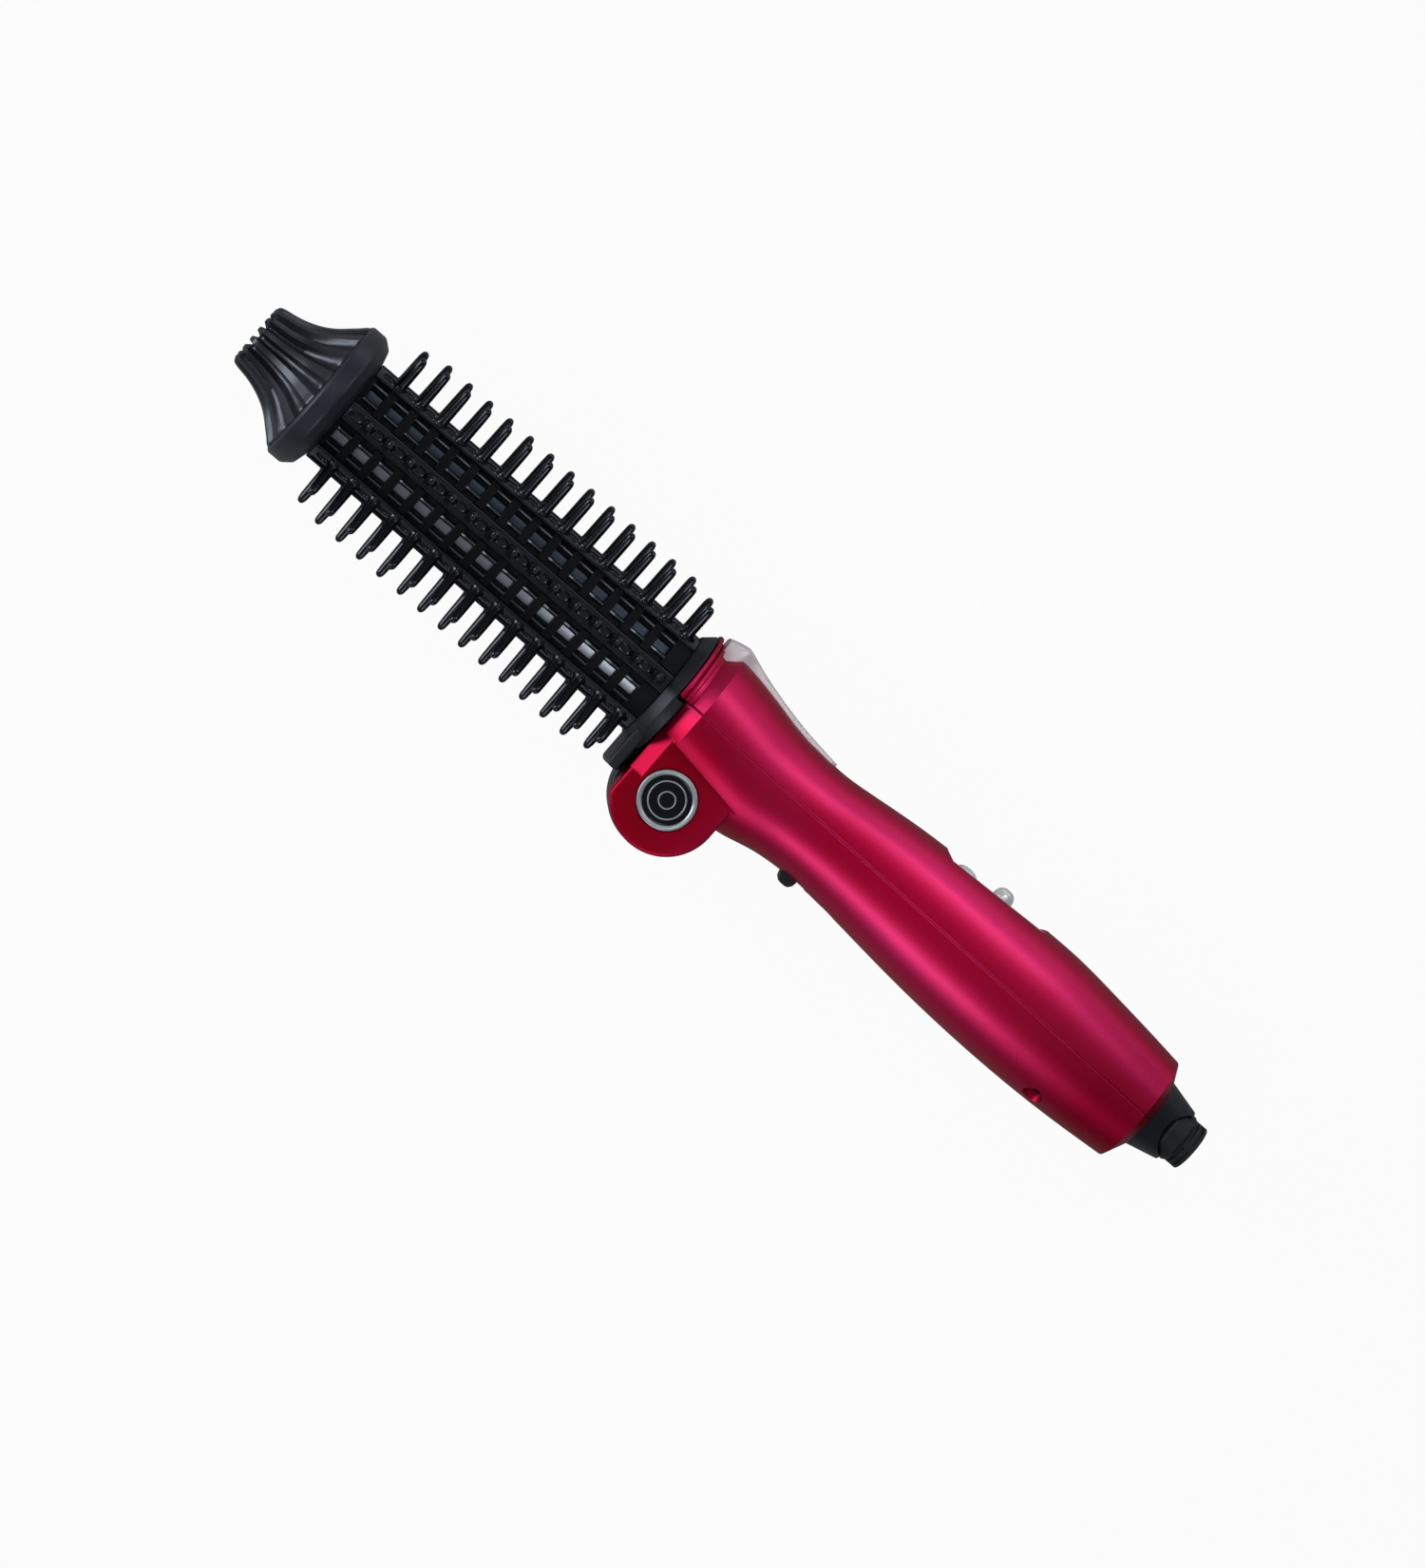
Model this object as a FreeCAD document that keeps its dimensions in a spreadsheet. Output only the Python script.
import FreeCAD, Part
import math
import os
import Sketcher
from FreeCAD import Placement, Rotation, Vector

# Folding heated hair brush: a bristled heated head on a half-lap hinge at the front of a two-shell
# handle. Working coordinates: x runs along the barrel towards the cord (0 near the handle mouth),
# y points to the button side (0 on the barrel axis) and z runs along the hinge pin towards the
# badge. Every piece is drawn there and moved once, so that the origin is the middle of the cord
# entry. "Front" is the end with the smaller x and "back" the end nearer the cord.
doc = FreeCAD.newDocument("folding_heated_brush")
sheet = doc.addObject("Spreadsheet::Sheet", "Sizes")

# Driving dimensions: alias, value, note.
CELLS = [
    # overall
    ("shift_along", -170.7, "moves the cord entry to the origin"),
    ("shift_up", 1.6, "moves the cord entry to the origin"),
    ("fit_gap", 0.05, "gap between pieces that touch"),
    # head
    ("tip_start", -139.4, "outer end of the cool tip"),
    ("tip_back", -118.9, "back face of the cool tip"),
    ("tip_nose_radius", 8.9, "cool tip at its outer end"),
    ("tip_flare_radius", 19.4, "cool tip at its back face"),
    ("flute_nose_radius", 1.05, "flute hollow at the outer end"),
    ("flute_flare_radius", 2.1, "flute hollow at the back face"),
    ("flute_count", 16, "flutes round the cool tip"),
    ("ring_front", -118.8, "front face of the tip ring"),
    ("ring_back", -110.6, "barrel side of the tip ring"),
    ("ring_radius", 20.2, "tip ring outside"),
    ("ring_foot_radius", 14.5, "tip ring where it meets the cage"),
    ("barrel_front", -113.8, "tip end of the heated tube"),
    ("barrel_back", -4.7, "collar end of the heated tube"),
    ("barrel_radius", 12.95, "heated tube outside"),
    ("barrel_wall", 0.95, "heated tube wall"),
    ("cage_front", -110.5, "tip end of the cage"),
    ("cage_back", -6.7, "collar end of the cage"),
    ("cage_inner", 13.0, "cage inside radius"),
    ("cage_radius", 13.9, "cage outside radius"),
    ("window_length", 4.15, "cage window along the barrel"),
    ("window_lead", 1.25, "from a pin row to the next window"),
    ("window_wide", 3.4, "cage window across, wide gaps"),
    ("window_narrow", 2.4, "cage window across, narrow gaps"),
    ("window_count", 15, "windows along the barrel"),
    ("strip_bottom", 13.95, "strip underside from the barrel axis"),
    ("strip_top", 14.55, "strip top from the barrel axis"),
    ("strip_half", 2.6, "half width of a strip"),
    ("pin_first", -104.0, "first bristle along the barrel"),
    ("pin_pitch", 6.68, "bristle pitch"),
    ("pin_count", 15, "bristles in a strip"),
    ("pin_tip", 26.4, "bristle tip from the barrel axis"),
    ("pin_end_tip", 25.1, "end bristles' tip from the barrel axis"),
    ("pin_base_radius", 1.3, "bristle at its base"),
    ("pin_tip_radius", 0.92, "bristle near its tip"),
    ("pin_collar_radius", 1.7, "flare where a bristle leaves its strip"),
    ("row_turn", 2.0, "turn of all rows about the barrel"),
    ("row_near", 60.0, "rows beside the middle row"),
    ("row_side", 103.0, "side rows"),
    ("row_far", 154.0, "far rows"),
    ("spreader_front", -104.0, "heat spreader, tip end"),
    ("spreader_back", -16.0, "heat spreader, collar end"),
    ("spreader_radius", 11.95, "heat spreader outside"),
    ("tile_half", 1.2, "half thickness of the heater tiles"),
    ("tile_wide", 7.0, "half width of the heater tiles"),
    ("plate_thick", 0.4, "electrode plate"),
    ("film_thick", 0.3, "insulation film"),
    ("layer_gap", 0.03, "gap between the heater's layers"),
    ("collar_front", -6.6, "barrel side of the collar"),
    ("collar_step", -3.45, "back of the collar above the seam"),
    ("collar_back", -0.95, "back of the collar below the seam"),
    ("collar_small", 15.3, "collar at the barrel side"),
    ("collar_large", 17.7, "collar at the handle side"),
    ("lobe_low", -23.8, "bottom of the collar lobe"),
    ("lobe_back", -2.25, "handle side of the collar lobe"),
    ("lobe_thick", 3.7, "collar lobe along the barrel"),
    ("arm_high", -10.0, "top of the arm to the knuckle"),
    # hinge
    ("hinge_along", 11.9, "hinge axis along the handle"),
    ("hinge_down", -21.0, "hinge axis below the barrel axis"),
    ("ear_radius", 14.15, "hinge ear"),
    ("knuckle_radius", 13.5, "hinge knuckle"),
    ("ear_inner", 2.1, "inner face of the ear"),
    ("ear_outer", 13.0, "outer face of the ear"),
    ("knuckle_top", 1.5, "knuckle face next to the ear"),
    ("knuckle_back", -10.0, "far face of the knuckle"),
    ("sweep_gap", 0.4, "room round the knuckle in the handle"),
    ("pin_radius", 2.5, "hinge pin"),
    ("bush_radius", 3.6, "hinge bush outside"),
    ("pin_run", 0.06, "running clearance on the hinge pin"),
    ("badge_radius", 7.6, "badge ring outside"),
    ("badge_inner", 6.3, "badge ring inside"),
    # handle
    ("wall", 2.2, "shell wall"),
    ("mouth_along", -0.3, "front of the shells"),
    ("mouth_top", 15.1, "top at the mouth"),
    ("mouth_low", -14.3, "bottom at the mouth"),
    ("mouth_wide", 15.2, "half width at the mouth"),
    ("lip_front", -3.2, "front of the lip round the mouth"),
    ("lip_radius", 16.4, "lip outside, between its fins"),
    ("wire_height", 3.0, "wires through the mouth above the barrel axis"),
    ("cavity_front", 3.2, "front of the handle cavity"),
    ("cavity_back", 153.5, "back of the handle cavity"),
    ("seam_front", 0.7, "height of the parting line where x is 0"),
    ("seam_angle", -1.2275, "slope of the parting line in degrees"),
    ("seam_gap", 0.04, "from the parting line to each shell"),
    ("tail_along", 156.2, "back face of the handle"),
    ("tail_top", 8.0, "top of the back face"),
    ("tail_low", -12.4, "bottom of the back face"),
    ("tail_wide", 10.4, "half width of the back face"),
    ("panel_front", 76.5, "panel facet, front"),
    ("panel_back", 106.0, "panel facet, back"),
    ("panel_front_top", 13.9, "panel facet height, front"),
    ("panel_back_top", 15.1, "panel facet height, back"),
    ("button_along", 93.2, "power button"),
    ("button_radius", 2.85, "power button"),
    ("button_top", 17.6, "power button crown"),
    ("lens_along", 82.2, "indicator lens"),
    ("lens_radius", 2.9, "indicator lens"),
    ("lens_top", 15.3, "indicator lens crown"),
    ("board_low", 4.2, "underside of the circuit board"),
    ("board_top", 5.8, "top of the circuit board"),
    ("nub_along", 48.6, "release nub"),
    ("nub_low", -18.2, "release nub bottom"),
    ("slider_travel", 3.0, "release slider travel"),
    ("spring_height", -11.15, "release spring axis, y"),
    ("spring_side", -2.0, "release spring axis, z"),
    ("screw_along", 129.7, "rear shell screws"),
    ("screw_side", 9.0, "rear shell screws, each side of the middle"),
    ("mid_screw_along", 62.0, "middle shell screw"),
    ("cord_axis", -1.6, "cord axis, y"),
    ("socket_front_radius", 9.8, "cord socket at the handle"),
    ("socket_back_radius", 7.6, "cord socket at its end"),
    ("socket_back", 165.3, "end of the cord socket"),
    ("boot_radius", 6.8, "cord boot head"),
    ("sleeve_radius", 6.3, "cord boot sleeve"),
    ("cord_radius", 3.2, "cord entry"),
    ("neck_radius", 4.5, "cord boot neck"),
]

# Handle sections: tag, place along the handle, top, bottom, half width, squareness.
SECTIONS = [
    ("a", 4.4, 18.2, -17.5, 18.0, 2.30),
    ("b", 12.3, 16.8, -18.0, 17.2, 2.32),
    ("c", 19.4, 15.3, -18.6, 16.3, 2.35),
    ("d", 26.4, 13.8, -19.0, 15.3, 2.38),
    ("e", 36.0, 12.8, -17.0, 14.2, 2.40),
    ("f", 43.0, 12.6, -16.0, 13.8, 2.42),
    ("g", 50.0, 13.2, -15.7, 13.9, 2.45),
    ("h", 64.0, 14.8, -16.5, 14.8, 2.45),
    ("i", 83.0, 15.9, -18.2, 16.0, 2.45),
    ("j", 106.7, 16.2, -19.4, 16.8, 2.45),
    ("k", 116.4, 16.2, -19.5, 16.8, 2.45),
    ("l", 131.0, 15.2, -19.1, 16.3, 2.42),
    ("n", 143.6, 14.0, -18.3, 15.5, 2.40),
    ("o", 152.3, 12.9, -17.6, 14.7, 2.38),
]
SECTION_COLUMNS = ("along", "top", "low", "wide", "square")
for tag, *numbers in SECTIONS:
    for column, number in zip(SECTION_COLUMNS, numbers):
        CELLS.append(("shape_%s_%s" % (tag, column), number, "handle section, " + column))

for row, (alias, number, note) in enumerate(CELLS, 1):
    sheet.set("A%d" % row, alias.replace("_", " "))
    sheet.set("B%d" % row, str(number))
    sheet.setAlias("B%d" % row, alias)
    sheet.set("C%d" % row, note)
doc.recompute()


# ==== sizes and bindings ============================================================
class Dim:
    """A size from the sheet: its number now, and the expression that binds it."""

    def __init__(self, number, text):
        self.number, self.text = float(number), text

    def __add__(self, other):
        other = dim(other)
        return Dim(self.number + other.number, "(%s + %s)" % (self.text, other.text))

    __radd__ = __add__

    def __sub__(self, other):
        other = dim(other)
        return Dim(self.number - other.number, "(%s - %s)" % (self.text, other.text))

    def __rsub__(self, other):
        return dim(other) - self

    def __mul__(self, other):
        other = dim(other)
        return Dim(self.number * other.number, "(%s * %s)" % (self.text, other.text))

    __rmul__ = __mul__

    def __neg__(self):
        return Dim(-self.number, "(0 - %s)" % self.text)


class Sizes:
    """Reads a cell of the sheet by its alias, as in size.tip_start."""

    def __getattr__(self, alias):
        return Dim(sheet.get(alias), "Sizes." + alias)


size = Sizes()


def dim(value):
    return value if isinstance(value, Dim) else Dim(value, "%.6f" % value)


def num(value):
    return value.number if isinstance(value, Dim) else float(value)


def bind(thing, prop, value):
    if isinstance(value, Dim):
        thing.setExpression(prop, value.text)


def assign(thing, prop, value):
    setattr(thing, prop, num(value))
    bind(thing, prop, value)


def place(thing, base, turn=None, prop="Placement"):
    setattr(thing, prop, Placement(Vector(*[num(v) for v in base]), turn or Rotation()))
    for axis, value in zip("xyz", base):
        bind(thing, "%s.Base.%s" % (prop, axis), value)


pieces = []


def settle(thing, turn=None):
    """Moves a finished piece into the final frame; its file takes the name it was made with."""
    place(thing, (size.shift_along, size.shift_up, 0), turn)
    pieces.append(thing)


# ==== plain solids ==================================================================
def block(name, x_span, y_span, z_span):
    """A box between two places on each axis."""
    solid = doc.addObject("Part::Box", name)
    spans = (x_span, y_span, z_span)
    for prop, (low, high) in zip(("Length", "Width", "Height"), spans):
        assign(solid, prop, dim(high) - low)
    place(solid, [low for low, _ in spans])
    return solid


TURNS = {
    "x": Rotation(Vector(0, 1, 0), 90),
    "y": Rotation(Vector(1, 0, 0), -90),
    "z": Rotation(),
}


def rod(name, axis, centre, radius, span, top_radius=None):
    """A cylinder or cone along an axis: centre is its place on the other two, in x, y, z order."""
    if top_radius is None:
        solid = doc.addObject("Part::Cylinder", name)
        assign(solid, "Radius", radius)
    else:
        solid = doc.addObject("Part::Cone", name)
        assign(solid, "Radius1", radius)
        assign(solid, "Radius2", top_radius)
    low, high = span
    assign(solid, "Height", dim(high) - low)
    base = list(centre)
    base.insert("xyz".index(axis), low)
    place(solid, base, TURNS[axis])
    return solid


def hinge_rod(name, radius, span, top_radius=None):
    """A rod on the hinge axis."""
    return rod(name, "z", (size.hinge_along, size.hinge_down), radius, span, top_radius)


def fuse(name, *things):
    solid = doc.addObject("Part::MultiFuse", name)
    solid.Shapes = list(things)
    return solid


def cut(name, base, *tools):
    solid = doc.addObject("Part::Cut", name)
    solid.Base = base
    solid.Tool = tools[0] if len(tools) == 1 else fuse(name + "_tools", *tools)
    return solid


def common(name, base, tool):
    solid = doc.addObject("Part::Common", name)
    solid.Base, solid.Tool = base, tool
    return solid


def compound(name, parts):
    group = doc.addObject("Part::Compound", name)
    group.Links = parts
    return group


def lead_pair(name, height, side, radius, span):
    """Two leads along x, one each side of the middle."""
    leads = [
        rod("%s_%d" % (name[:-1], i), "x", (height, z), radius, span)
        for i, z in ((1, side), (2, -side))
    ]
    settle(compound(name, leads))


# ==== sketched solids ===============================================================
def datum(body, role):
    return [f for f in body.Origin.OriginFeatures if f.Role == role][0]


def new_body(name):
    return doc.addObject("PartDesign::Body", name)


def new_sketch(body, role, name, points, offset=(0, 0, 0), turn=None):
    """A closed outline on a datum plane, its corners held at sizes from the sheet."""
    sketch = body.newObject("Sketcher::SketchObject", name)
    sketch.AttachmentSupport = [(datum(body, role), "")]
    sketch.MapMode = "FlatFace"
    place(sketch, offset, turn, "AttachmentOffset")
    count = len(points)
    corners = [Vector(num(a), num(b), 0) for a, b in points]
    for i in range(count):
        sketch.addGeometry(Part.LineSegment(corners[i], corners[(i + 1) % count]), False)
    for i in range(count):
        sketch.addConstraint(Sketcher.Constraint("Coincident", i, 2, (i + 1) % count, 1))
    for i, point in enumerate(points):
        for kind, value in zip(("DistanceX", "DistanceY"), point):
            index = sketch.addConstraint(Sketcher.Constraint(kind, i, 1, num(value)))
            bind(sketch, "Constraints[%d]" % index, value)
    return sketch


def revolve(body, sketch, name, axis):
    turned_solid = body.newObject("PartDesign::Revolution", name)
    turned_solid.Profile = sketch
    turned_solid.ReferenceAxis = (sketch, [axis])
    turned_solid.Angle = 360
    return turned_solid


def turned(name, points, offset=(0, 0, 0)):
    """A solid of revolution about x: corners are (place along x, radius)."""
    body = new_body(name)
    sketch = new_sketch(body, "XY_Plane", name + "_profile", points, offset)
    revolve(body, sketch, name + "_turned", "H_Axis")
    return body


def padded(name, role, level, points, length):
    """An outline padded from a level along the plane's normal (-y for the XZ plane)."""
    body = new_body(name)
    sketch = new_sketch(body, role, name + "_outline", points, (0, 0, level))
    pad = body.newObject("PartDesign::Pad", name + "_pad")
    pad.Profile = sketch
    assign(pad, "Length", length)
    return body


def dome(name, along, radius, low, top, crown):
    """A round key standing along y, with a spherical crown of the given height."""
    reach_out = num(radius)
    ball = (reach_out * reach_out + crown * crown) / (2 * crown)
    half_angle = math.asin(reach_out / ball)
    points = [(0.0, low), (radius, low), (radius, top - crown)]
    for i in range(1, 8):
        angle = half_angle * (1 - i / 8.0)
        points.append((ball * math.sin(angle), top - ball + ball * math.cos(angle)))
    points.append((0.0, top))
    body = new_body(name)
    sketch = new_sketch(body, "XY_Plane", name + "_profile", points, (along, 0, 0))
    revolve(body, sketch, name + "_turned", "V_Axis")
    return body


def pattern_along(body, name, feature, count, length):
    """Repeats a feature along the barrel and makes the row the body's tip."""
    row = body.newObject("PartDesign::LinearPattern", name)
    row.Originals = [feature]
    row.Direction = (datum(body, "X_Axis"), [""])
    assign(row, "Length", length)
    row.Occurrences = int(round(num(count)))
    bind(row, "Occurrences", count)
    body.Tip = row
    doc.recompute()


# ==== head: tip =====================================================================
# Outside of the cool tip: distance from its outer end, rise above the nose radius.
TRUMPET = [
    (0, 0), (1.0, 0), (4.5, 0.2), (8.0, 0.9), (11.0, 2.0), (13.5, 3.4), (16.0, 5.3), (18.5, 7.5),
]


def flutes():
    """Tapering round hollows along the trumpet, running past both its ends."""
    front, nose = num(size.tip_start), num(size.tip_nose_radius)
    length = num(size.tip_back) - front
    full_rise = num(size.tip_flare_radius) - nose
    nose_hollow, flare_hollow = num(size.flute_nose_radius), num(size.flute_flare_radius)
    stations = [(-1.0, 0.0)] + TRUMPET + [(length, full_rise), (length + 1.5, full_rise + 1.2)]
    rings = []
    for along, rise in stations:
        share = min(1.0, max(0.0, rise / full_rise))
        hollow = nose_hollow * (1 - share) + flare_hollow * share
        depth = 0.3 * (1 - share) - 0.15 * share
        centre = Vector(front + along, 0, nose + rise - depth)
        rings.append(Part.Wire([Part.makeCircle(hollow, centre, Vector(1, 0, 0))]))
    first = Part.makeLoft(rings, True, False, False, 3)
    count = int(num(size.flute_count))
    copies = []
    for i in range(count):
        one = first.copy()
        one.rotate(Vector(0, 0, 0), Vector(1, 0, 0), 360.0 * (i + 0.5) / count)
        copies.append(one)
    feature = doc.addObject("Part::Feature", "flutes")
    feature.Shape = Part.makeCompound(copies)
    return feature


def cool_tip():
    """A trumpet with a flat nose, a screw recess and flutes."""
    front, back = size.tip_start, size.tip_back
    nose, flare = size.tip_nose_radius, size.tip_flare_radius
    hole, recess, floor = 1.6, 3.3, front + 6.0
    body = turned(
        "cool_tip_trumpet",
        [(floor, hole), (floor, recess), (front, recess), (front, nose - 1.1)]
        + [(front + along, nose + rise) for along, rise in TRUMPET[1:]]
        + [(back - 0.5, flare - 0.2), (back, flare), (back, hole)],
    )
    settle(cut("cool_tip", body, flutes()))


def tip_ring():
    """Flat band with a wide chamfer on the barrel side and a seat for the tube end."""
    front, back, radius = size.ring_front, size.ring_back, size.ring_radius
    seat_radius, seat_floor, hole = size.cage_inner + 0.02, size.barrel_front - 0.1, 2.0
    settle(turned("tip_ring", [
        (front, hole), (front, radius - 1.3), (front + 0.9, radius - 0.1), (front + 1.4, radius),
        (front + 4.9, radius), (front + 5.3, radius - 0.2), (back - 0.7, radius - 2.3),
        (back - 0.3, radius - 3.0), (back, size.ring_foot_radius), (back, seat_radius),
        (seat_floor, seat_radius), (seat_floor, hole),
    ]))


def tip_screw():
    front, head, shank = size.tip_start, 2.8, 1.45
    settle(turned("tip_screw", [
        (front + 4.0, 0), (front + 4.0, head), (front + 5.95, head), (front + 5.95, shank),
        (-108.0, shank), (-107.4, 0),
    ]))


def core_plug():
    """Stepped plug in the tip end of the tube, round the tip screw."""
    front = size.barrel_front
    settle(turned("core_plug", [
        (front, 1.5), (front, 11.9), (-107.0, 11.9), (-107.0, 8.0),
        (-105.0, 8.0), (-105.0, 3.0), (-106.5, 3.0), (-106.5, 1.5),
    ]))


# ==== head: barrel ==================================================================
def sleeve(name, front, back, inner, outer):
    return turned(name, [(front, inner), (front, outer), (back, outer), (back, inner)])


def barrel_tube():
    outer = size.barrel_radius
    inner = outer - size.barrel_wall
    settle(sleeve("barrel_tube", size.barrel_front, size.barrel_back, inner, outer))


# Bristle rows: degrees round the barrel from +z towards +y, before the common turn.
HALF_ROWS = [num(size.row_near), num(size.row_side), num(size.row_far)]
ROWS = [0.0] + HALF_ROWS + [360 - angle for angle in reversed(HALF_ROWS)]
ROW_TURN = num(size.row_turn)


def cage_sleeve():
    """Sleeve over the tube with a row of windows in each gap between the bristle strips."""
    cage = sleeve(
        "cage_sleeve", size.cage_front, size.cage_back, size.cage_inner, size.cage_radius
    )
    doc.recompute()
    front = size.pin_first - size.pin_pitch + size.window_lead
    back = front + size.window_length
    for i, (angle, following) in enumerate(zip(ROWS, ROWS[1:] + [360.0]), 1):
        middle = (angle + following) / 2 + ROW_TURN
        width = size.window_wide if following - angle > 45 else size.window_narrow
        low, high = width * -0.5, width * 0.5
        pocket_sketch = new_sketch(
            cage, "XY_Plane", "window_outline_%d" % i,
            [(front, low), (back, low), (back, high), (front, high)],
            turn=Rotation(Vector(1, 0, 0), -middle),
        )
        pocket = cage.newObject("PartDesign::Pocket", "window_%d" % i)
        pocket.Profile = pocket_sketch
        pocket.Type = "Length"
        pocket.Length = 20
        pocket.Reversed = True
        doc.recompute()
        pattern_along(
            cage, "windows_%d" % i, pocket,
            size.window_count, size.pin_pitch * (size.window_count - 1),
        )
    settle(cage)


# Rounding of a bristle's end, in shares of its tip radius: radius, distance below the tip.
PIN_ROUND = [(1.0, 1.0), (0.94, 0.62), (0.72, 0.28), (0.38, 0.07)]


def pin_profile(tip):
    low, top = size.strip_bottom + 0.1, size.strip_top
    collar, base, end = size.pin_collar_radius, size.pin_base_radius, size.pin_tip_radius
    return (
        [(0, low), (collar, low), (collar, top + 0.05), (base + 0.12, top + 0.45)]
        + [(base, top + 1.0)]
        + [(end * radius, tip - end * below) for radius, below in PIN_ROUND]
        + [(0, tip)]
    )


def bristle_strip(name, angle):
    """A low bar with a row of tapered pins, the first and last a little shorter.

    It is drawn standing along z and then turned about the barrel."""
    half, low, top = size.strip_half, size.strip_bottom, size.strip_top
    strip = padded(
        name, "YZ_Plane", size.cage_front + 0.1,
        [
            (-half, low), (half, low), (half, low + 0.25),
            (half - 0.4, top), (0.4 - half, top), (-half, low + 0.25),
        ],
        size.cage_back - size.cage_front - 0.2,
    )
    doc.recompute()
    first, pitch, count = size.pin_first, size.pin_pitch, size.pin_count
    # Kind, first pin's place, tip, number of pins, length of the row.
    runs = (
        ("pin", first + pitch, size.pin_tip, count - 2, pitch * (count - 3)),
        ("end_pin", first, size.pin_end_tip, 2, pitch * (count - 1)),
    )
    for kind, along, tip, pins, length in runs:
        pin_name = "%s_%s" % (name, kind)
        sketch = new_sketch(
            strip, "XZ_Plane", pin_name + "_profile", pin_profile(tip), (along, 0, 0)
        )
        pin = revolve(strip, sketch, pin_name, "V_Axis")
        doc.recompute()
        pattern_along(strip, pin_name + "s", pin, pins, length)
    settle(strip, Rotation(Vector(1, 0, 0), -(angle + ROW_TURN)))


# ==== head: heater ==================================================================
def layer_pair(group, name, x_span, inner, thick, half_width):
    """Two flat layers, one above and one below the tiles."""
    outer = inner + thick
    layers = [
        block("%s_%d" % (name, i), x_span, y_span, (-half_width, half_width))
        for i, y_span in ((1, (inner, outer)), (2, (-outer, -inner)))
    ]
    settle(compound(group, layers))


def heater_stack():
    """Tiles, electrode plates, films and the two half-round spreaders inside the tube."""
    front, back = size.spreader_front, size.spreader_back
    half_thick, half_wide, gap = size.tile_half, size.tile_wide, size.layer_gap
    tile_length, tile_pitch = 15.0, 16.8
    tiles = []
    for i in range(5):
        start = front + (3.0 + tile_pitch * i)
        tiles.append(block(
            "ptc_tile_%d" % (i + 1), (start, start + tile_length),
            (-half_thick, half_thick), (-half_wide, half_wide),
        ))
    settle(compound("ptc_tiles", tiles))

    level = half_thick + gap
    plate_span = (front + 1.0, back + 5.0)
    layer_pair(
        "electrode_plates", "electrode", plate_span, level, size.plate_thick, half_wide - 0.5
    )
    level = level + size.plate_thick + gap
    film_span = (front + 0.5, back - 0.5)
    layer_pair("insulation_films", "film", film_span, level, size.film_thick, 8.2)

    level = level + size.film_thick + gap
    for name, y_span in (
        ("heat_spreader_upper", (level, 14)),
        ("heat_spreader_lower", (-14, -level)),
    ):
        bar = rod(name + "_bar", "x", (0, 0), size.spreader_radius, (front, back))
        side = block(name + "_side", (front - 1, back + 1), y_span, (-14, 14))
        settle(common(name, bar, side))


def head_wiring():
    fuse_axis, thermistor_axis = (-4.0, 0), (4.0, 0)
    settle(fuse(
        "thermal_fuse",
        rod("fuse_body", "x", fuse_axis, 1.7, (-14.0, -7.0)),
        rod("fuse_lead", "x", fuse_axis, 0.4, (-15.6, -5.0)),
    ))
    settle(fuse(
        "thermistor",
        rod("thermistor_bead", "x", thermistor_axis, 1.0, (-15.5, -13.0)),
        rod("thermistor_lead", "x", thermistor_axis, 0.35, (-13.5, -5.0)),
    ))
    lead_pair("head_leads", 0.0, 2.4, 0.8, (-10.6, -3.6))


# ==== head: carrier =================================================================
def head_carrier():
    """Collar with the tube seat, lobe below it, arm, and the knuckle on the hinge pin."""
    hinge_x, hinge_y = size.hinge_along, size.hinge_down
    front, step = size.collar_front, size.collar_step
    small, large = size.collar_small, size.collar_large
    tube, wire_way = size.barrel_radius, 4.5
    knuckle_span = (size.knuckle_back, size.knuckle_top)
    collar = turned("collar_ring", [
        (front, tube + 0.1), (front, small - 0.3), (front + 0.3, small), (step - 0.9, large),
        (step, large), (step, wire_way), (step - 1.3, wire_way), (step - 1.3, tube + 0.1),
    ])
    lower_disc = cut(
        "collar_lower",
        rod("collar_lower_disc", "x", (0, 0), large, (step - 0.5, size.collar_back)),
        block("collar_upper_space", (step - 2, 5), (0.3, 30), (-30, 30)),
        rod("collar_wire_way", "x", (0, 0), wire_way, (step - 2, 5)),
    )
    lobe_low, lobe_back, lobe_high = size.lobe_low, size.lobe_back, -12.0
    lobe_front = lobe_back - size.lobe_thick
    lobe = padded(
        "collar_lobe", "XY_Plane", -12.0,
        [
            (lobe_front, lobe_high), (lobe_front, lobe_low + 2.4),
            (lobe_front + 0.6, lobe_low + 1.0), (lobe_front + 1.8, lobe_low),
            (lobe_back - 0.6, lobe_low), (lobe_back, lobe_low + 0.5), (lobe_back, lobe_high),
        ],
        24.0,
    )
    arm = block(
        "carrier_arm", (lobe_back - 0.5, hinge_x), (hinge_y, size.arm_high), knuckle_span
    )
    knuckle = hinge_rod("knuckle", size.knuckle_radius, knuckle_span)
    low, high = knuckle_span
    settle(cut(
        "head_carrier",
        fuse("carrier_solid", collar, lower_disc, lobe, arm, knuckle),
        hinge_rod("bush_seat", size.bush_radius + 0.01, (low - 1, high + 1)),
        hinge_rod("clip_recess", 5.2, (low - 1, low + 2.2)),
        rod("barrel_seat", "x", (0, 0), tube + 0.05, (front - 1, size.barrel_back + 0.04)),
        hinge_rod("ear_clearance", size.ear_radius + 0.25, (1.8, 40)),
        block(
            "latch_notch", (hinge_x + 8.6, hinge_x + 12.6), (hinge_y + 8.4, hinge_y + 11.4),
            (-4.4, 0.4),
        ),
    ))


def hinge_bush():
    low, high = size.knuckle_back, size.knuckle_top
    settle(cut(
        "hinge_bush",
        hinge_rod("bush_outer", size.bush_radius, (low + 2.3, high - 0.02)),
        hinge_rod("bush_hole", size.pin_radius + size.pin_run, (low, high + 1)),
    ))


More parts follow.
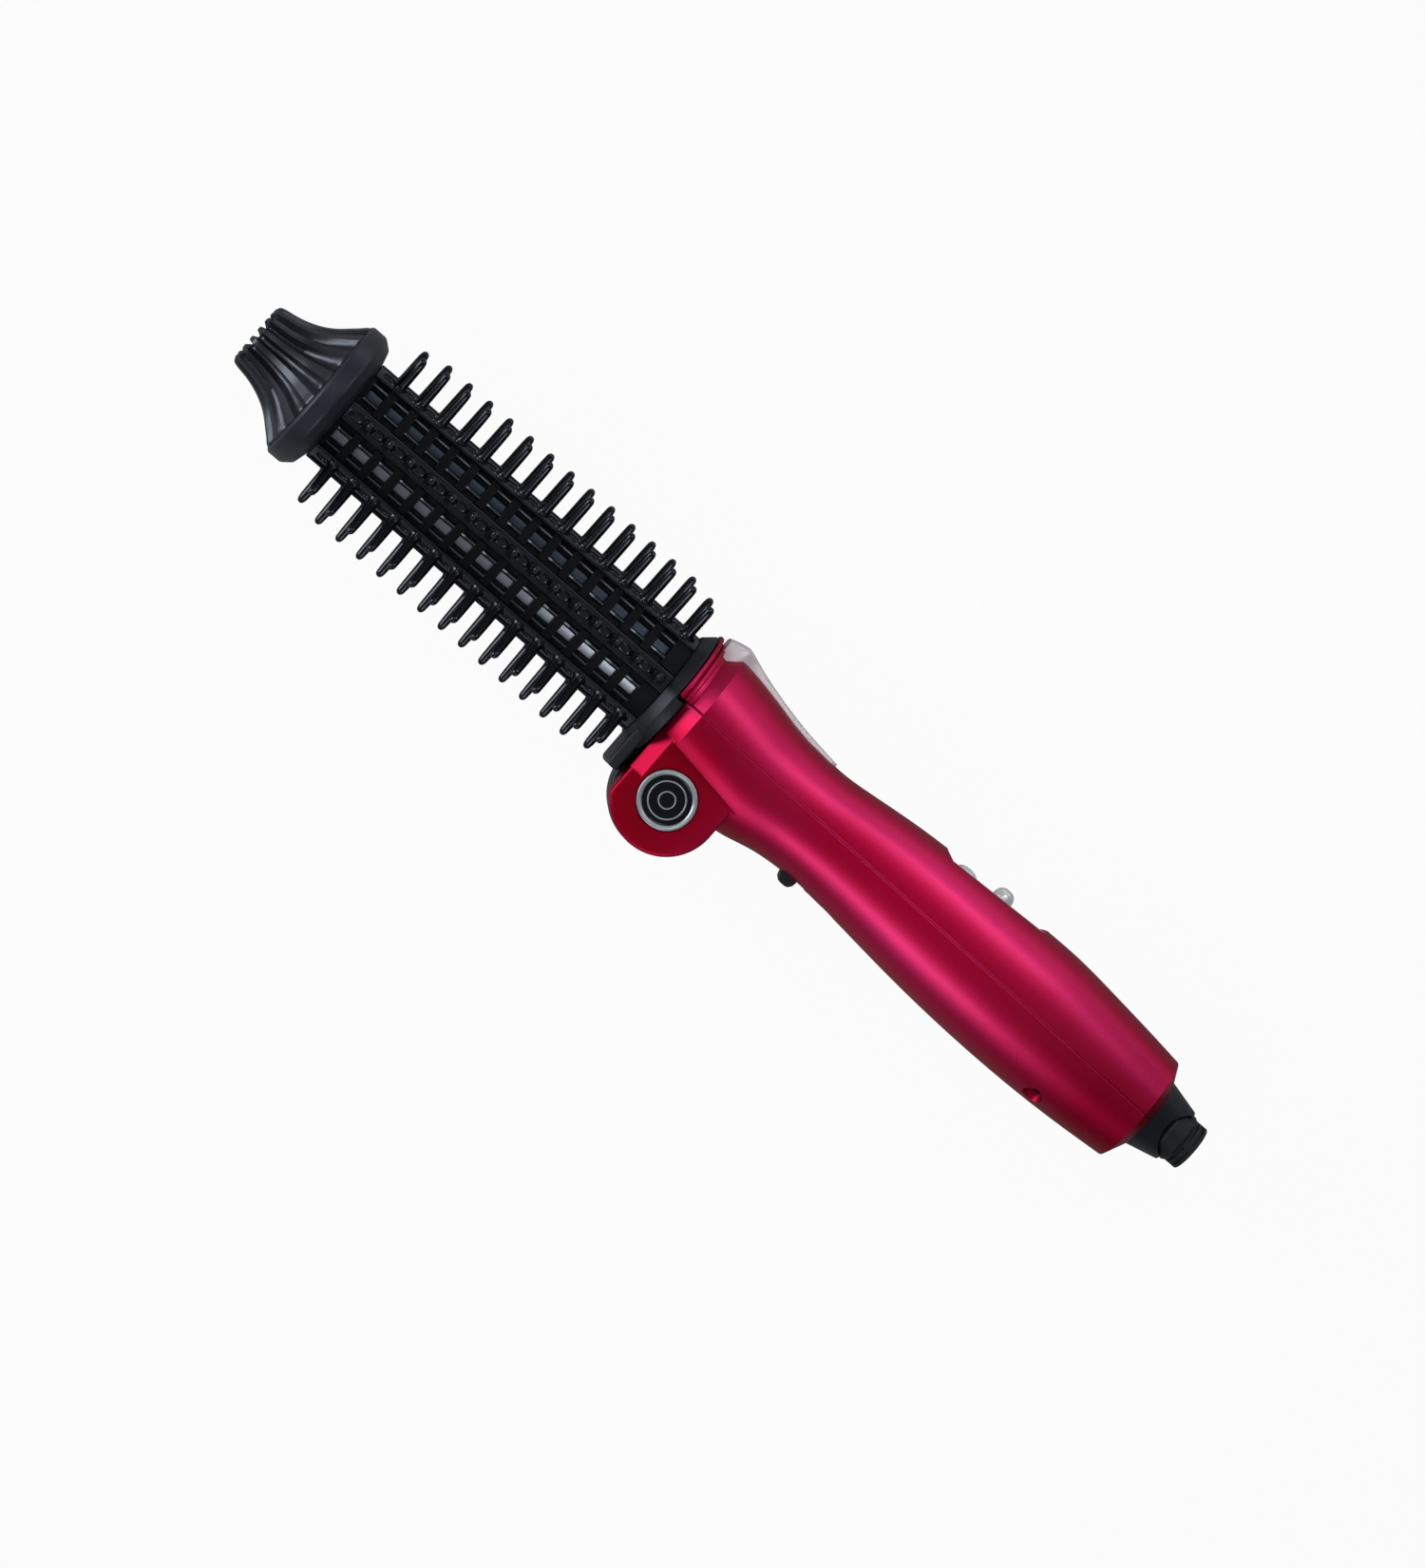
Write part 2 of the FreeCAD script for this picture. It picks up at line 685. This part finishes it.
def knuckle_cap():
    """Cover disc on the knuckle's far face."""
    face = size.knuckle_back
    settle(fuse(
        "knuckle_cap",
        hinge_rod("cap_disc", 7.6, (face - 0.75, face - size.fit_gap)),
        hinge_rod("cap_rim", 6.9, (face - 1.1, face - 0.7)),
    ))


# ==== handle blanks =================================================================
def ring_wire(along, top, low, wide, square):
    """A squared-off oval across the handle, its points at even angles so all sections match."""
    middle, half = (top + low) / 2, (top - low) / 2
    count = 48
    points = []
    for i in range(count):
        turn = 2 * math.pi * i / count
        sine, cosine = math.sin(turn), math.cos(turn)
        reach = (abs(cosine) ** square + abs(sine) ** square) ** (-1.0 / square)
        points.append(Vector(along, middle + half * reach * sine, wide * reach * cosine))
    curve = Part.BSplineCurve()
    parameters = [i / float(count) for i in range(count + 1)]
    curve.interpolate(Points=points, PeriodicFlag=True, Parameters=parameters)
    return Part.Wire([curve.toShape()])


def loft(rows, ruled=False):
    return Part.makeLoft([ring_wire(*row) for row in rows], True, ruled, False, 3)


def section_rows(inset=0.0):
    rows = []
    for tag, *_ in SECTIONS:
        along, top, low, wide, square = [
            num(getattr(size, "shape_%s_%s" % (tag, column))) for column in SECTION_COLUMNS
        ]
        rows.append([along, top - inset, low + inset, wide - inset, square])
    return rows


def envelope(name, solids):
    shape = solids[0]
    for more in solids[1:]:
        shape = shape.fuse(more)
    feature = doc.addObject("Part::Feature", name)
    feature.Shape = shape
    return feature


def handle_outside():
    rows = section_rows()
    mouth = [num(v) for v in (size.mouth_along, size.mouth_top, size.mouth_low, size.mouth_wide)]
    tail = [num(v) for v in (size.tail_along, size.tail_top, size.tail_low, size.tail_wide)]
    return envelope("handle_outside", [
        loft([mouth + [2.2], rows[0]], True),
        loft(rows),
        loft([rows[-1], tail + [2.2]], True),
    ])


def handle_cavity():
    """The hollow of both shells, less the guards round the knuckle pocket and the ear."""
    rows = section_rows(num(size.wall))
    # The hollow stays low enough to leave material under the control panel.
    for row in rows:
        if 60 < row[0] < 120:
            row[1] = min(row[1], 11.4 + (row[0] - num(size.panel_front)) * 0.035)
    rows[0][:4] = [num(size.cavity_front), 14.6, -13.8, 14.4]
    rows[-1][0] = num(size.cavity_back)
    sweep = size.ear_radius + size.sweep_gap
    guard_z = (pocket_low() - 1.8, size.ear_inner + 2.0)
    hollow = cut(
        "handle_cavity",
        envelope("handle_inside", [loft(rows)]),
        hinge_rod("guard_round", sweep + 1.8, guard_z),
        block("guard_square", (-8, size.hinge_along + 1.8), (-45, size.arm_high + 2.3), guard_z),
        hinge_rod("ear_guard", size.ear_radius + 0.5, (-1, 30)),
    )
    window = block("cavity_window", (size.cavity_front, 153.9), (-30, 30), (-30, 30))
    return common("cavity_trimmed", hollow, window)


def pocket_low():
    """Far side of the pocket in which the knuckle swings."""
    return size.knuckle_back - 1.3


def knuckle_pocket():
    """Room for the knuckle and arm of the head in the far side of the lower shell."""
    z_span = (pocket_low(), size.ear_inner)
    return [
        hinge_rod("pocket_round", size.ear_radius + size.sweep_gap, z_span),
        block("pocket_square", (-8, size.hinge_along), (-45, size.arm_high + 0.5), z_span),
    ]


def seam_side(name, bottom, gap):
    """A large box on one side of the sloping parting line; bottom is measured from that line."""
    length, height, depth = 320, 60, 80
    box = doc.addObject("Part::Box", name)
    box.Length, box.Width, box.Height = length, height, depth
    slope = Rotation(Vector(0, 0, 1), num(size.seam_angle))
    start = slope.multVec(Vector(-60, bottom, 0))
    y = num(size.seam_front) + gap + start.y
    box.Placement = Placement(Vector(start.x, y, -depth / 2), slope)
    return box


def front_lip():
    """Lip with two fins round the mouth."""
    front = size.lip_front
    return cut(
        "front_lip",
        fuse(
            "front_lip_solid",
            rod("lip_base", "x", (0, 0), size.lip_radius, (front, 0.9)),
            rod("lip_fin_1", "x", (0, 0), 18.6, (front, -2.2)),
            rod("lip_fin_2", "x", (0, 0), 17.4, (-1.5, -0.4)),
        ),
        rod("lip_bore", "x", (0, 0), 14.0, (-4, -0.33)),
    )


def at_screws(name, radius, rear_span, middle_span):
    """Three rods along y at the shell screws: the rear pair, then the middle one."""
    places = (
        (size.screw_along, size.screw_side, rear_span),
        (size.screw_along, -size.screw_side, rear_span),
        (size.mid_screw_along, 0, middle_span),
    )
    return [
        rod("%s_%d" % (name, i), "y", (along, side), radius, span)
        for i, (along, side, span) in enumerate(places, 1)
    ]


# ==== shells ========================================================================
def upper_shell(outside, lip, cavity, tail_hole):
    front, back = size.panel_front, size.panel_back
    front_top, back_top = size.panel_front_top, size.panel_back_top
    facet = padded(
        "panel_facet", "XY_Plane", -30,
        [
            (front - 2.4, 15.2), (front, front_top), (back, back_top),
            (back + 1.4, 16.3), (back + 1.4, 30), (front - 2.4, 30),
        ],
        60,
    )
    panel_seat = padded(
        "panel_seat", "XY_Plane", -7.6,
        [
            (front + 0.6, front_top - 0.9), (back - 0.6, back_top - 0.9),
            (back - 0.6, 30), (front + 0.6, 30),
        ],
        15.2,
    )
    solid = common(
        "upper_solid", fuse("upper_body", outside, lip),
        seam_side("above_seam", 0, num(size.seam_gap)),
    )
    posts = fuse("upper_posts", *at_screws("upper_post", 3.4, (-2.0, 12.0), (-0.5, 13.0)))
    solid = cut("upper_hollowed", solid, cavity)
    solid = fuse("upper_with_posts", solid, common("upper_posts_trimmed", posts, outside))
    key_span = (5, 25)
    settle(cut(
        "upper_shell", solid, facet, panel_seat, tail_hole,
        rod("mouth_wire_hole", "x", (size.wire_height, 0), 4.0, (-2, 6)),
        rod("button_hole", "y", (size.button_along, 0), size.button_radius + 0.12, key_span),
        rod("lens_hole", "y", (size.lens_along, 0), size.lens_radius - 0.5, key_span),
        *at_screws("pilot", 1.42, (-4, 7.0), (-4, 7.0)),
    ))


def hinge_ear(recesses):
    """The badge-side half of the hinge, with its front corner bevelled."""
    hinge_x, hinge_y, mouth = size.hinge_along, size.hinge_down, size.mouth_along
    z_span = (size.ear_inner, size.ear_outer)
    body = fuse(
        "ear_body",
        hinge_rod("ear_round", size.ear_radius, z_span),
        block("ear_square", (mouth, hinge_x + size.ear_radius), (hinge_y, -7.0), z_span),
    )
    bevel = padded(
        "ear_bevel", "XZ_Plane", 6.0,
        [(mouth - 1.0, 8.0), (mouth + 5.2, 13.4), (mouth + 5.2, 16.0), (mouth - 1.0, 16.0)],
        14.0,
    )
    return cut(
        "ear_shaped", body, bevel,
        hinge_rod("ear_pin_hole", size.pin_radius + 0.02, (-1, 12)),
        *recesses,
    )


def lower_shell(outside, cavity, tail_hole):
    recesses = [
        hinge_rod("pin_head_recess", 5.3, (9.3, 20)),
        hinge_rod("badge_recess", size.badge_radius + 0.1, (11.4, 20)),
    ]
    screw_entries = at_screws("screw_entry", 2.7, (-25, -12.0), (-25, -11.0))
    # Trims the shell flat, level with the ear's outer face.
    flat = padded(
        "pod_flat", "XY_Plane", size.ear_outer,
        [(4.3, -9.2), (26.0, -12.3), (27.2, -12.6), (27.2, -40), (4.3, -40)],
        12.0,
    )
    posts = fuse("lower_posts", *at_screws("lower_post", 4.3, (-18.0, -4.2), (-17.0, -2.8)))
    spring_stop = block("spring_stop", (55.6, 57.0), (-14.5, -8.6), (-4.8, 0.8))
    inside = cut("lower_inside", fuse("lower_extras", posts, spring_stop), *screw_entries)
    nub = size.nub_along
    solid = common(
        "lower_solid", outside, seam_side("below_seam", -60, -num(size.seam_gap))
    )
    solid = cut("lower_hollowed", solid, cavity)
    solid = cut(
        "lower_opened", solid, *knuckle_pocket(), *screw_entries,
        block("nub_slot", (nub - 2.5, nub + 2.5 + size.slider_travel), (-20, -12.6), (-3.3, 3.3)),
        flat,
        hinge_rod("wall_pin_hole", size.pin_radius + 0.02, (3.0, 12)),
        *recesses,
    )
    solid = fuse(
        "lower_with_ear", solid, hinge_ear(recesses),
        common("lower_posts_trimmed", inside, outside),
    )
    settle(cut(
        "lower_shell", solid, tail_hole,
        *at_screws("shank_way", 1.6, (-14, 0), (-14, 0)),
        block("nose_slot", (size.hinge_along + 8.0, 40.0), (-12.65, -9.6), (-4.3, 0.3)),
    ))


# ==== handle fittings ===============================================================
# Sections of the trim's outside: place along the handle, top, bottom, half width, squareness.
TRIM_ROWS = [
    [-1.2, 19.1, -10.0, 17.0, 2.2],
    [3.4, 20.4, -10.0, 18.4, 2.25],
    [5.2, 20.0, -10.0, 18.3, 2.3],
    [12.3, 18.2, -10.0, 17.5, 2.32],
    [19.4, 16.4, -10.0, 16.6, 2.35],
    [26.4, 14.8, -10.0, 15.5, 2.38],
    [36.0, 13.5, -10.0, 14.4, 2.4],
    [43.0, 12.9, -10.0, 13.9, 2.4],
]
# Far edge of the trim seen from above: x, z. The badge-side edge mirrors it.
TRIM_EDGE = [(-1.1, -8.6), (4.0, -9.4), (16.0, -8.2), (28.0, -5.6), (36.0, -3.0), (39.0, -1.2)]


def top_trim(outside, lip):
    """Tongue along the top of the mouth, bedded on the shell."""
    solid = envelope("trim_outside", [loft(TRIM_ROWS[:3], True), loft(TRIM_ROWS[2:])])
    mirrored = [(x, -z) for x, z in reversed(TRIM_EDGE)]
    plan = padded("trim_plan", "XZ_Plane", -30, TRIM_EDGE + [(39.6, 0)] + mirrored, 28)
    core = rod("trim_bed_core", "x", (0, 0), size.lip_radius, (size.lip_front, 1.2))
    settle(cut(
        "top_trim", common("trim_tongue", solid, plan), fuse("trim_bed", outside, lip, core)
    ))


def control_panel():
    front, back = size.panel_front + 0.7, size.panel_back - 0.7
    front_top, back_top = size.panel_front_top, size.panel_back_top
    plate = padded(
        "panel_plate", "XY_Plane", -7.5,
        [
            (front, front_top - 0.84), (back, back_top - 0.84),
            (back, back_top + 0.1), (front, front_top + 0.1),
        ],
        15.0,
    )
    button_hole, lens_hole = size.button_radius + 0.12, size.lens_radius + 0.03
    settle(cut(
        "control_panel", plate,
        rod("panel_button_hole", "y", (size.button_along, 0), button_hole, (5, 25)),
        rod("panel_lens_hole", "y", (size.lens_along, 0), lens_hole, (5, 25)),
    ))


def indicator_lens():
    settle(dome(
        "indicator_lens", size.lens_along, size.lens_radius,
        low=13.35, top=size.lens_top, crown=1.0,
    ))


def power_button():
    crown = dome(
        "button_crown", size.button_along, size.button_radius,
        low=10.9, top=size.button_top, crown=2.3,
    )
    flange = rod("button_flange", "y", (size.button_along, 0), 3.6, (10.4, 11.3))
    settle(fuse("power_button", crown, flange))


def badge():
    """Ring and grooved disc over the hinge pin."""
    outer, inner, base, bevel_start = size.badge_radius, size.badge_inner, 11.45, 13.3
    settle(cut(
        "badge_ring",
        fuse(
            "badge_ring_solid",
            hinge_rod("badge_ring_low", outer, (base, bevel_start)),
            hinge_rod("badge_ring_top", outer, (bevel_start, 13.75), outer - 0.45),
        ),
        hinge_rod("badge_ring_hole", inner, (11, 15)),
    ))
    settle(cut(
        "badge_disc",
        hinge_rod("badge_disc_solid", inner - 0.03, (base, 13.35)),
        cut(
            "badge_groove",
            hinge_rod("badge_groove_outer", 4.3, (13.1, 14)),
            hinge_rod("badge_groove_inner", 3.9, (13.0, 15)),
        ),
    ))


def hinge_fixings():
    """Pin, washer between ear and knuckle, and the open clip on the pin's far end."""
    pin, face, hinge_x, hinge_y = (
        size.pin_radius, size.knuckle_back, size.hinge_along, size.hinge_down
    )
    settle(fuse(
        "hinge_pin",
        hinge_rod("pin_shank", pin, (face + 0.7, 10.0)),
        hinge_rod("pin_head", 5.1, (9.4, 11.3)),
    ))
    settle(cut(
        "hinge_washer",
        hinge_rod("washer_disc", 6.5, (1.62, 1.98)),
        hinge_rod("washer_hole", pin + 0.1, (1, 3)),
    ))
    clear_span = (-13, -5)
    settle(cut(
        "hinge_clip",
        hinge_rod("clip_disc", 4.6, (face + 1.0, face + 1.9)),
        hinge_rod("clip_hole", pin + 0.02, clear_span),
        block("clip_gap", (hinge_x, hinge_x + 6), (hinge_y - 1.0, hinge_y + 1.0), clear_span),
    ))


def mouth_plate():
    settle(cut(
        "mouth_plate",
        rod("mouth_disc", "x", (0, 0), 13.6, (-0.74, -0.36)),
        block("mouth_lower_space", (-3, 3), (-30, -8.9), (-30, 30)),
        rod("mouth_plate_hole", "x", (size.wire_height, 0), 3.4, (-2, 6)),
    ))


def electronics():
    """Board, the parts on both its sides, the switch under the button, and the leads."""
    low, high = size.board_low, size.board_top
    settle(cut(
        "circuit_board",
        block("board_blank", (70, 121), (low, high), (-9.5, 9.5)),
        rod("board_hole_1", "y", (74, 6.5), 1.6, (3, 8)),
        rod("board_hole_2", "y", (117, -6.5), 1.6, (3, 8)),
    ))
    below, above = low - size.fit_gap, high + size.fit_gap
    settle(compound("board_parts", [
        block("film_capacitor", (98, 112), (-4.5, below), (-7.5, 1.5)),
        block("triac", (80, 90), (-1.0, below), (2.5, 7.5)),
        rod("electrolytic", "y", (104, 5.5), 3.0, (-5.0, below)),
        block("control_chip", (76, 84), (2.6, below), (-6, -1)),
        rod("lamp", "y", (size.lens_along, 0), 1.5, (above, 10.2)),
    ]))
    button = size.button_along
    settle(fuse(
        "power_switch",
        block("switch_body", (button - 3, button + 3), (above, 8.6), (-3, 3)),
        rod("switch_plunger", "y", (button, 0), 1.6, (8.0, 9.1)),
    ))
    lead_pair("handle_leads", size.wire_height, 5.0, 0.9, (3.6, 69.5))
    lead_pair("mains_leads", size.cord_axis, 2.4, 1.0, (113.0, 148.6))


def shell_screws():
    """Two screws behind the grip and one in the middle, heads down."""
    rear_seat, middle_seat = -11.95, -10.95
    heads = at_screws(
        "screw_head", 2.45,
        (rear_seat - 1.9, rear_seat - 0.1), (middle_seat - 1.9, middle_seat - 0.1),
    )
    shanks = at_screws("screw_shank", 1.38, (rear_seat - 0.5, 4.0), (middle_seat - 0.5, 5.0))
    settle(compound("shell_screws", [
        fuse("shell_screw_%d" % i, head, shank)
        for i, (head, shank) in enumerate(zip(heads, shanks), 1)
    ]))


def release_slider():
    """Nub under the handle, bar above it with its nose just clear of the knuckle rim."""
    nub, low = size.nub_along, size.nub_low
    back, y_span = nub + 4.0, (-12.4, -9.9)
    nub_outline = [
        (nub - 2.3, -12.0), (nub - 2.3, -16.2), (nub - 1.9, -17.3), (nub - 1.0, low + 0.15),
        (nub - 0.2, low), (nub + 0.6, low), (nub + 1.4, low + 0.3), (nub + 2.1, -17.0),
        (nub + 2.3, -16.0), (nub + 2.3, -12.0),
    ]
    solid = fuse(
        "slider_solid",
        block("slider_bar", (size.hinge_along + 11.9, back), y_span, (-4.0, 0.0)),
        block("slider_plate", (nub - 4.6, back), y_span, (-4.5, 4.5)),
        padded("slider_nub", "XY_Plane", -3.0, nub_outline, 6.0),
    )
    spring_axis = (size.spring_height, size.spring_side)
    pocket = rod("spring_pocket", "x", spring_axis, 1.0, (nub - 6.0, nub + 9.0))
    settle(cut("release_slider", solid, pocket))


def release_spring():
    """Coil along x, swept from its front end."""
    front, coil_radius = 47.2, 0.62
    height, side = size.spring_height, size.spring_side
    coil = doc.addObject("Part::Helix", "spring_path")
    coil.Pitch, coil.Height, coil.Radius = 0.9, 8.1, coil_radius
    place(coil, (front, height, side), TURNS["x"])
    wire = doc.addObject("Part::Circle", "spring_wire")
    wire.Radius = 0.18
    place(wire, (front, height, side - coil_radius), Rotation(Vector(1, 0, 0), 90))
    spring = doc.addObject("Part::Sweep", "release_spring")
    spring.Sections = [wire]
    spring.Spine = (coil, [])
    spring.Solid = True
    spring.Frenet = True
    settle(spring)


# ==== cord end ======================================================================
def cord_socket():
    """A cone scooped out on both sides, bored for the boot that turns in it."""
    axis, front, back = (size.cord_axis, 0), size.tail_along, size.socket_back
    cone = fuse(
        "socket_cone",
        rod(
            "socket_taper", "x", axis, size.socket_front_radius, (front + 0.05, back),
            size.socket_back_radius,
        ),
        rod("socket_plug", "x", axis, 8.0, (153.6, front + 0.5)),
    )
    scoop_centre, scoop_radius = (back + 2.6, size.cord_axis), 7.2
    settle(cut(
        "cord_socket", cone,
        rod("socket_bore", "x", axis, size.boot_radius + 0.15, (160.9, 166.9)),
        rod("socket_neck", "x", axis, size.neck_radius + 0.08, (151.9, 161.9)),
        rod("socket_scoop_near", "z", scoop_centre, scoop_radius, (1.5, 20.0)),
        rod("socket_scoop_far", "z", scoop_centre, scoop_radius, (-20.0, -1.5)),
    ))


def cord_boot():
    """Flange, neck, head and sleeve, with shallow slots round the sleeve."""
    cord, neck, head, sleeve_radius = (
        size.cord_radius, size.neck_radius, size.boot_radius, size.sleeve_radius
    )
    level = size.cord_axis
    body = turned(
        "cord_boot_body",
        [
            (149.8, cord), (149.8, 6.6), (151.3, 6.6), (151.3, neck), (161.05, neck),
            (161.05, head - 1.6), (161.4, head - 0.8), (162.1, head - 0.2), (162.9, head),
            (166.5, head - 0.05), (167.3, sleeve_radius), (170.5, sleeve_radius),
            (170.7, sleeve_radius - 0.2), (170.7, cord),
        ],
        (0, level, 0),
    )
    slots = []
    for i, along in enumerate((167.4, 169.0)):
        for j, (low, high) in enumerate(((1.0, 9.0), (-9.0, -1.0))):
            for side, z_span in (("near", (2.0, 9.0)), ("far", (-9.0, -2.0))):
                slots.append(block(
                    "boot_slot_%d_%d_%s" % (i, j, side), (along, along + 0.75),
                    (level + low, level + high), z_span,
                ))
    slot_depth = cut(
        "slot_depth",
        rod("slot_outer", "x", (level, 0), 9.0, (166.9, 170.4)),
        rod("slot_inner", "x", (level, 0), sleeve_radius - 0.8, (165.9, 170.9)),
    )
    settle(cut(
        "cord_boot", body, common("boot_slots", fuse("boot_slot_blocks", *slots), slot_depth)
    ))


# ==== assembly ======================================================================
cool_tip()
tip_ring()
tip_screw()
core_plug()
barrel_tube()
cage_sleeve()
for number, row_angle in enumerate(ROWS, 1):
    bristle_strip("bristle_strip_%d" % number, row_angle)
heater_stack()
head_wiring()
head_carrier()
hinge_bush()
knuckle_cap()

handle_blank = handle_outside()
handle_hollow = handle_cavity()
mouth_lip = front_lip()
cord_hole = rod("tail_hole", "x", (size.cord_axis, 0), 8.1, (152.9, 157.9))
upper_shell(handle_blank, mouth_lip, handle_hollow, cord_hole)
lower_shell(handle_blank, handle_hollow, cord_hole)
top_trim(handle_blank, mouth_lip)
control_panel()
indicator_lens()
power_button()
badge()
hinge_fixings()
mouth_plate()
electronics()
shell_screws()
release_slider()
release_spring()
cord_socket()
cord_boot()

# ==== checks and files ==============================================================
doc.recompute()
bad = [o.Name for o in doc.Objects if "Invalid" in o.State or "Error" in o.State]
if bad:
    raise SystemExit("failed objects: " + ", ".join(bad))
for piece in pieces:
    shape = piece.Shape
    if shape.isNull() or not shape.isValid() or not shape.Solids:
        raise SystemExit("bad shape: " + piece.Label)
    if any(not solid.isClosed() or solid.Volume <= 0 for solid in shape.Solids):
        raise SystemExit("open solid: " + piece.Label)
os.makedirs("parts", exist_ok=True)
for piece in pieces:
    piece.Shape.exportStep("parts/%s.step" % piece.Label)
